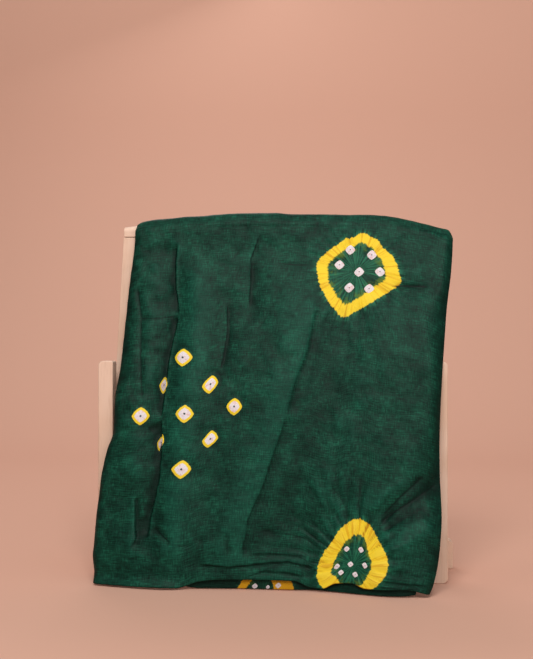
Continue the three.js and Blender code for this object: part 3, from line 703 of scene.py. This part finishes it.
def make_silk():
    """The whole folded silk as one fine sheet, and its flat width and length."""
    points, u, v, level, way, painted_shade, (x, z) = silk_points()
    rings, dots = motifs(points, u, v, level, way)
    points[..., 1] -= MIDDLE
    count_s, count_c = u.shape
    index = np.arange(count_s * count_c).reshape(count_s, count_c)
    corners = [index[:-1, :-1], index[:-1, 1:], index[1:, 1:], index[1:, :-1]]
    quads = np.stack(corners, axis=-1).reshape(-1, 4)
    mesh = bpy.data.meshes.new("silk_drape")
    mesh.from_pydata((points.reshape(-1, 3) * MM).tolist(), [], quads.tolist())
    mesh.polygons.foreach_set("use_smooth", np.ones(len(quads), bool))
    flat_u, flat_v = u.ravel()[quads], v.ravel()[quads]
    ring, dot = nearest_of(rings, flat_u, flat_v), nearest_of(dots, flat_u, flat_v)
    turn = ring[:, RING_COLUMNS["turn"], None]
    layers = {
        "Cloth": np.stack([flat_u, flat_v], axis=-1) * MM,
        "Ring": local_to(ring, RING_COLUMNS["outer"], flat_u, flat_v, turn),
        "Hole": local_to(ring, RING_COLUMNS["hole"], flat_u, flat_v, turn),
        "Dot": local_to(dot, DOT_COLUMNS["size"], flat_u, flat_v),
        "Crease": crease_lines(x.ravel()[quads], z.ravel()[quads]),
    }
    faces = {
        "ring_seed": ring[:, :2].sum(axis=1) * SEED_STEP,
        "ring_round": ring[:, RING_COLUMNS["round"]],
        "dot_seed": dot[:, :2].sum(axis=1) * SEED_STEP,
        "dot_white": dot[:, DOT_COLUMNS["white"]],
    }
    for name, coordinates in layers.items():
        layer = mesh.uv_layers.new(name=name)
        layer.data.foreach_set("uv", coordinates.reshape(-1).astype(np.float32))
    for name, values in faces.items():
        attribute = mesh.attributes.new(name, "FLOAT", "FACE")
        attribute.data.foreach_set("value", values.astype(np.float32))
    # The painted shade, for the silk material
    attribute = mesh.attributes.new("painted_shade", "FLOAT", "POINT")
    attribute.data.foreach_set("value", painted_shade.ravel().astype(np.float32))
    mesh.update()
    silk = new_object("silk_drape", mesh)
    mesh.materials.append(silk_material())
    cut = (float(u.max() - u.min()) * MM, float(v.max()) * MM)
    return silk, cut


class Nodes:
    """Short forms for a material's nodes."""

    def __init__(self, name):
        self.material = bpy.data.materials.new(name)
        self.material.use_nodes = True
        self.tree = self.material.node_tree
        self.shader = self.tree.nodes["Principled BSDF"]

    def join(self, value, socket):
        if isinstance(value, bpy.types.NodeSocket):
            self.tree.links.new(value, socket)
        else:
            socket.default_value = value

    def add(self, kind, values=(), **settings):
        """A new node, with its settings, and with its inputs' values by number or name."""
        node = self.tree.nodes.new(kind)
        for key, value in settings.items():
            setattr(node, key, value)
        for key, value in dict(values).items():
            self.join(value, node.inputs[key])
        return node

    def surface(self, name, value):
        self.join(value, self.shader.inputs[name])

    def math(self, operation, *values):
        return self.add("ShaderNodeMath", enumerate(values), operation=operation).outputs[0]

    def times(self, a, b):
        return self.math("MULTIPLY", a, b)

    def times_plus(self, a, b, c):
        """a times b, plus c."""
        return self.math("MULTIPLY_ADD", a, b, c)

    def ramp(self, value, low, high):
        """0 below low, 1 above high."""
        values = enumerate((value, low, high))
        return self.add("ShaderNodeMapRange", values, interpolation_type="SMOOTHSTEP").outputs[0]

    def mask(self, value, name):
        """0 below a named ramp and 1 above it."""
        return self.ramp(value, *RAMPS[name])

    def mix(self, factor, a, b, blend="MIX"):
        values = {0: factor, 6: a, 7: b}
        return self.add("ShaderNodeMix", values, data_type="RGBA", blend_type=blend).outputs[2]

    def vector(self, operation, *values):
        node = self.add("ShaderNodeVectorMath", enumerate(values), operation=operation)
        return node.outputs["Value" if operation == "LENGTH" else "Vector"]

    def noise(self, vector, scale, detail, rough):
        values = {"Vector": vector, "Scale": scale, "Detail": detail, "Roughness": rough}
        return self.add("ShaderNodeTexNoise", values).outputs["Fac"]

    def stretched(self, vector, x, y, z=1.0):
        return self.vector("MULTIPLY", vector, (x, y, z))

    def uv(self, name):
        return self.add("ShaderNodeUVMap", uv_map=name).outputs[0]

    def face(self, name):
        return self.add("ShaderNodeAttribute", attribute_name=name).outputs["Fac"]

    def rounded_radius(self, vector, power):
        """Distance from the middle, measured so that equal distances make a rounded diamond."""
        split = self.add("ShaderNodeSeparateXYZ", {0: vector}).outputs
        raised = [self.math("POWER", self.math("ABSOLUTE", split[i]), power) for i in (0, 1)]
        return self.math("POWER", self.math("ADD", *raised), self.math("DIVIDE", 1.0, power))

    def streaks(self, vector, seed, name):
        """Noise in named streaks that run out from the middle."""
        turns, along_radius, detail, rough = STREAKS[name]
        values = {0: self.vector("NORMALIZE", vector), "Scale": turns}
        spread = self.add("ShaderNodeVectorMath", values, operation="SCALE").outputs["Vector"]
        radius = self.times_plus(self.vector("LENGTH", vector), along_radius, seed)
        lift = self.add("ShaderNodeCombineXYZ", {2: radius}).outputs[0]
        return self.noise(self.vector("ADD", spread, lift), 1.0, detail, rough)

    def uneven(self, vector, seed, name):
        """Named streaks around 0."""
        return self.math("SUBTRACT", self.streaks(vector, seed, name), 0.5)

    def bump(self, height, strength, distance):
        """Low relief, with its distance in metres."""
        values = {"Strength": strength, "Distance": distance, "Height": height}
        self.surface("Normal", self.add("ShaderNodeBump", values).outputs[0])


GREEN = {"deep": srgb(2, 27, 20), "mid": srgb(9, 51, 39), "light": srgb(22, 83, 64)}
# Colours of the painted shade and of the painted highlight on the ridges
SHADOW = srgb(1, 16, 11)
GLEAM = srgb(16, 62, 50)
# The deep yellow is the yellow in painted shade
YELLOW = {"full": srgb(226, 196, 46), "warm": srgb(208, 164, 30), "deep": srgb(206, 150, 22)}
WHITE = {"plain": srgb(214, 208, 214), "pink": srgb(208, 152, 148)}
OLIVE = srgb(88, 114, 36)
HALO = srgb(40, 116, 84)
SHEEN = srgb(120, 190, 160)
WOOD = {"pale": srgb(218, 188, 168), "mid": srgb(209, 175, 152), "line": srgb(186, 148, 122)}
PAPER = srgb(208, 164, 145)

# Where each mask starts and where it is full. For rings and dots, 1 is the outline.
RAMPS = {
    "mid_green": (0.38, 0.52), "light_green": (0.49, 0.64),
    "outside": (0.985, 1.02), "inside": (0.96, 1.03),
    "halo": (1.17, 1), "halo_streaks": (0.42, 0.62),
    "bleed": (0.6, 1), "bleed_patches": (0.44, 0.62),
    "full_yellow": (0.32, 0.5), "shaded_yellow": (0.35, 0.75),
    "gathers_inside": (0.5, 0.8), "gathers_outside": (1.9, 1.05),
    "rim": (1.04, 0.95), "white": (0.04, -0.04), "pinhole": (0.14, 0.09), "blush": (0.5, 0.66),
    "puckers_inside": (0.7, 1), "puckers_outside": (2.3, 1.2),
    # Painted shade, and the painted highlight where the silk stands out
    "painted_shade": (0, 1), "raised": (0, -0.5),
    "wood_cloud": (0.35, 0.65), "wood_grain": (0.5, 0.72), "wood_fine": (0.52, 0.7),
}
# Streaks that run out from the middle of a tied place: turns, change along the radius, detail, roughness
STREAKS = {
    "fray": (11, 1.2, 3, 0.7), "sway": (1.9, 0.3, 1, 0.5), "gathers": (12, 0.8, 2, 0.6),
    "dot_fray": (2.6, 0.6, 2, 0.6), "blush": (1.4, 2.4, 2, 0.6), "puckers": (4.5, 0.5, 1, 0.5),
}
PATCHES = 5  # patches of bled dye across a ring's half size
# How far the streaks move a ring's edges and a dot's, and how round a dot is
FRAY, SWAY, HOLE_RAGGED = 0.16, 0.20, 1.5
DOT_FRAY, DOT_ROUND = 0.13, 1.35
# Threads across and along the strip, blotches and the widths of the painted crease shade, all in cells for
# each metre
WEFT, WARP, BLOTCHES, CREASE_WIDTHS = (90, 900), (1100, 110), 38, 80
WEFT_SHARE, WARP_SHARE = 0.52, 0.48
BLOTCH_SHARE, THREAD_SHARE = 0.3, 0.7
# Half width and core of the painted shade line along a crease
CREASE_HALF_WIDTH, CREASE_CORE = 2.8, 0.2
# How much of each colour is laid over what is below it; the crease entry is painted shade along the
# creases, and the gleam entry a painted highlight
LAID = {"halo": 0.6, "bleed": 0.75, "crease": 0.9, "blush": 0.6, "pinhole": 0.9, "gleam": 0.35}
# Strength of the painted shade, and how much less of it lies on the yellow band and the rims
HOLLOW_SHADE, HOLLOW_SHADE_ON_DYE = 0.76, -0.4
# Heights of the bump, with the threads as 1
BUMPS = {"blotch": 1.2, "gathers": 2.2, "puckers": 1.4}


def silk_green(n, cloth):
    """Uneven green, and the threads and blotches that make it so."""
    weft = n.noise(n.stretched(cloth, *WEFT), 1.0, 3.0, 0.6)
    warp = n.noise(n.stretched(cloth, *WARP), 1.0, 3.0, 0.6)
    blotch = n.noise(cloth, BLOTCHES, 4.0, 0.6)
    thread = n.times_plus(weft, WEFT_SHARE, n.times(warp, WARP_SHARE))
    tone = n.times_plus(blotch, BLOTCH_SHARE, n.times(thread, THREAD_SHARE))
    green = n.mix(n.mask(tone, "mid_green"), GREEN["deep"], GREEN["mid"])
    return n.mix(n.mask(tone, "light_green"), green, GREEN["light"]), thread, blotch


def ring_dye(n, green, painted_shade):
    """The yellow rings on the green, their band alone, and the height of the gathers around them."""
    ring, hole = n.uv("Ring"), n.uv("Hole")
    seed, roundness = n.face("ring_seed"), n.face("ring_round")
    sway = n.times(n.uneven(ring, seed, "sway"), SWAY)
    ragged = n.times_plus(n.uneven(ring, seed, "fray"), FRAY, sway)
    edge = n.math("ADD", n.rounded_radius(ring, roundness), ragged)
    inner = n.math("ADD", n.rounded_radius(hole, roundness), n.times(ragged, HOLE_RAGGED))
    within = n.math("SUBTRACT", 1.0, n.mask(edge, "outside"))
    band = n.times(n.mask(inner, "inside"), within)
    streaks = n.streaks(ring, seed, "gathers")
    halo = n.times(n.mask(edge, "halo"), n.mask(streaks, "halo_streaks"))
    patches = n.mask(n.noise(ring, PATCHES, 3, 0.6), "bleed_patches")
    bleed = n.times(n.times(n.mask(inner, "bleed"), patches), within)
    colour = n.mix(n.times(halo, LAID["halo"]), green, HALO)
    colour = n.mix(n.times(bleed, LAID["bleed"]), colour, OLIVE)
    yellow = n.mix(n.mask(streaks, "full_yellow"), YELLOW["warm"], YELLOW["full"])
    # Painted shade: the yellow turns deeper where the silk lies hollow
    yellow = n.mix(n.mask(painted_shade, "shaded_yellow"), yellow, YELLOW["deep"])
    near = n.times(n.mask(edge, "gathers_inside"), n.mask(edge, "gathers_outside"))
    return n.mix(band, colour, yellow), band, n.times(streaks, near)


def crease_shade(n, cloth, colour):
    """Painted shade: thin dark lines of uneven width along the creases."""
    off, weight, _ = n.add("ShaderNodeSeparateXYZ", {0: n.uv("Crease")}).outputs
    half_width = n.times(n.noise(cloth, CREASE_WIDTHS, 2.0, 0.5), CREASE_HALF_WIDTH)
    line = n.times(n.ramp(n.math("ABSOLUTE", off), half_width, CREASE_CORE), weight)
    return n.mix(n.times(line, LAID["crease"]), colour, SHADOW)


def dot_dye(n, colour):
    """White dots with a yellow rim and a pinhole, the dots alone, and the height of their puckers."""
    dot, seed = n.uv("Dot"), n.face("dot_seed")
    off = n.times_plus(n.uneven(dot, seed, "dot_fray"), DOT_FRAY, n.rounded_radius(dot, DOT_ROUND))
    rim = n.mask(off, "rim")
    white = n.mask(n.math("SUBTRACT", off, n.face("dot_white")), "white")
    pinhole = n.mask(n.vector("LENGTH", dot), "pinhole")
    blush = n.mask(n.streaks(dot, seed, "blush"), "blush")
    pale = n.mix(n.times(blush, LAID["blush"]), WHITE["plain"], WHITE["pink"])
    colour = n.mix(rim, colour, YELLOW["full"])
    colour = n.mix(white, colour, pale)
    colour = n.mix(n.times(pinhole, LAID["pinhole"]), colour, GREEN["deep"])
    near = n.times(n.mask(off, "puckers_inside"), n.mask(off, "puckers_outside"))
    return colour, rim, n.times(n.streaks(dot, seed, "puckers"), near)


def silk_material():
    """Silk with slubs, the dye pattern of rings and dots, painted shade in its hollows and creases, and a
    painted highlight where it stands out.
    """
    n = Nodes("silk")
    cloth, painted_shade = n.uv("Cloth"), n.face("painted_shade")
    green, thread, blotch = silk_green(n, cloth)
    colour, band, gathered = ring_dye(n, green, painted_shade)
    colour, rim, puckered = dot_dye(n, crease_shade(n, cloth, colour))
    # Painted shade where the silk lies hollow, weaker on the dye, then a painted highlight where it stands
    # out
    shade = n.times_plus(n.math("MAXIMUM", rim, band), HOLLOW_SHADE_ON_DYE, HOLLOW_SHADE)
    colour = n.mix(n.times(n.mask(painted_shade, "painted_shade"), shade), colour, SHADOW)
    gleam = n.times(n.mask(painted_shade, "raised"), LAID["gleam"])
    n.surface("Base Color", n.mix(gleam, colour, GLEAM, "SCREEN"))

    height = n.times_plus(blotch, BUMPS["blotch"], thread)
    height = n.times_plus(gathered, BUMPS["gathers"], height)
    height = n.times_plus(puckered, BUMPS["puckers"], height)
    n.bump(height, 0.4, 0.0006)
    n.surface("Roughness", n.times_plus(thread, 0.2, 0.42))
    n.surface("Specular IOR Level", 0.09)
    n.surface("Sheen Weight", 0.02)
    n.surface("Sheen Roughness", 0.4)
    n.surface("Sheen Tint", SHEEN)
    return n.material


WOOD_CLOUDS = 14  # paler and darker patches, in cells for each metre
WOOD_FINE = 5  # fine grain has this many times the grain's cells
WOOD_LINES, WOOD_FINE_LINES = 0.45, 0.25  # how much of the line colour each of them lays over


def wood_material(name, stretch):
    """Pale wood whose grain runs along the board's long side."""
    n = Nodes(name)
    place = n.add("ShaderNodeTexCoord").outputs["Object"]
    grain = n.noise(n.stretched(place, *stretch), 1.0, 5.0, 0.6)
    fine = n.noise(n.stretched(place, *[s * WOOD_FINE for s in stretch]), 1.0, 3.0, 0.6)
    cloud = n.noise(place, WOOD_CLOUDS, 2, 0.5)
    colour = n.mix(n.mask(cloud, "wood_cloud"), WOOD["pale"], WOOD["mid"])
    colour = n.mix(n.times(n.mask(grain, "wood_grain"), WOOD_LINES), colour, WOOD["line"])
    colour = n.mix(n.times(n.mask(fine, "wood_fine"), WOOD_FINE_LINES), colour, WOOD["line"])
    n.surface("Base Color", colour)
    n.bump(fine, 0.25, 0.0004)
    n.surface("Roughness", n.times_plus(grain, 0.15, 0.5))
    n.surface("Specular IOR Level", 0.3)
    return n.material


ALONG, ACROSS_GRAIN = 9, 170  # cells of grain for each metre
WELD, EASED = 0.00002, 0.0007  # metres: points this near are one, and the width of an eased edge
EASED_FROM = 35  # degrees between the faces of an edge that is eased


def make_boards():
    """Each board of the stand again, with softly eased edges."""
    upright = wood_material("wood_upright", (ACROSS_GRAIN, ACROSS_GRAIN, ALONG))
    level_x = wood_material("wood_along", (ALONG, ACROSS_GRAIN, ACROSS_GRAIN))
    level_y = wood_material("wood_across", (ACROSS_GRAIN, ALONG, ACROSS_GRAIN))
    finish = {"crest_rail": level_x, "rear_foot": level_x}
    for side in ("left", "right"):
        finish |= {f"leg_front_{side}": upright, f"post_{side}": upright}
        finish |= {f"side_rail_{side}": level_y, f"runner_{side}": level_y}
    for node, material in finish.items():
        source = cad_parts[node]
        board = new_object(f"{node}_board", source.data.copy())
        board.matrix_world = source.matrix_world.copy()
        board.data.materials.clear()
        board.data.materials.append(material)
        weld = board.modifiers.new("weld", "WELD")
        weld.merge_threshold = WELD
        bevel = board.modifiers.new("eased", "BEVEL")
        bevel.width = EASED
        bevel.segments = 3
        bevel.limit_method = "ANGLE"
        bevel.angle_limit = math.radians(EASED_FROM)
        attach(board, "root")
        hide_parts(node)


def make_backdrop():
    """Plain floor that curves up into the wall behind."""
    half_width, front, turn, radius, top = 4.0, -3.6, 1.1, 0.9, 3.4
    profile = [(front, 0.0), (-1.0, 0.0), (0.0, 0.0)]
    for angle in np.linspace(0, math.pi / 2, 16):
        profile.append((turn + radius * math.sin(angle), radius - radius * math.cos(angle)))
    profile.append((turn + radius, top))
    verts = [(x, y, z) for y, z in profile for x in (-half_width, half_width)]
    faces = [(2 * i, 2 * i + 1, 2 * i + 3, 2 * i + 2) for i in range(len(profile) - 1)]
    mesh = bpy.data.meshes.new("backdrop")
    mesh.from_pydata(verts, [], faces)
    mesh.polygons.foreach_set("use_smooth", [True] * len(faces))
    backdrop = new_object("backdrop", mesh)
    n = Nodes("backdrop_paper")
    n.surface("Base Color", PAPER)
    n.surface("Roughness", 0.9)
    n.surface("Specular IOR Level", 0.1)
    mesh.materials.append(n.material)


def add_camera():
    """The photo's camera."""
    towards = Vector((math.sin(AZIMUTH), -math.cos(AZIMUTH), 0))
    right = Vector((math.cos(AZIMUTH), math.sin(AZIMUTH), 0))
    data = bpy.data.cameras.new("camera")
    data.sensor_width = SENSOR
    data.lens = SENSOR * CAMERA["distance"] / VIEW_HEIGHT
    camera = new_object("camera", data)
    place = right * CAMERA["right"] + towards * CAMERA["distance"]
    camera.location = (place + Vector((0, -MIDDLE, CAMERA["height"]))) * MM
    camera.rotation_euler = towards.to_track_quat("Z", "Y").to_euler()
    bpy.context.scene.camera = camera


WARM, PLAIN = (1.0, 0.98, 0.94), (1, 1, 1)
LIGHTS = [
    # name, place and aim in metres, size, power, colour
    ("key", (0.05, -1.35, 1.5), (0, 0, 0.25), 0.9, 29.5, WARM),
    ("fill", (1.1, -2.0, 0.7), (0, 0, 0.2), 1.6, 11, PLAIN),
    ("wall", (0.0, 0.1, 2.45), (0, 2.0, 2.2), 2.8, 31.5, WARM),
    ("back", (-0.5, 1.5, 1.7), (0, 0, 0.2), 1.0, 8, PLAIN),
]
ROOM = {"colour": (1.0, 0.97, 0.95, 1), "strength": 0.26}


def add_lights():
    """Soft square lights that face a point each, and the light of the room."""
    for name, place, aim, size, power, colour in LIGHTS:
        data = bpy.data.lights.new(name, "AREA")
        data.size, data.energy, data.color = size, power, colour
        light = new_object(name, data)
        light.location = place
        light.rotation_euler = (Vector(place) - Vector(aim)).to_track_quat("Z", "Y").to_euler()
    world = bpy.data.worlds.new("room")
    world.use_nodes = True
    world.node_tree.nodes["Background"].inputs[0].default_value = ROOM["colour"]
    world.node_tree.nodes["Background"].inputs[1].default_value = ROOM["strength"]
    bpy.context.scene.world = world
    bpy.context.scene.view_settings.view_transform = "Standard"


add_camera()
silk, cut = make_silk()
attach(silk, "root")
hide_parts("cloth")
make_boards()
make_backdrop()
add_lights()
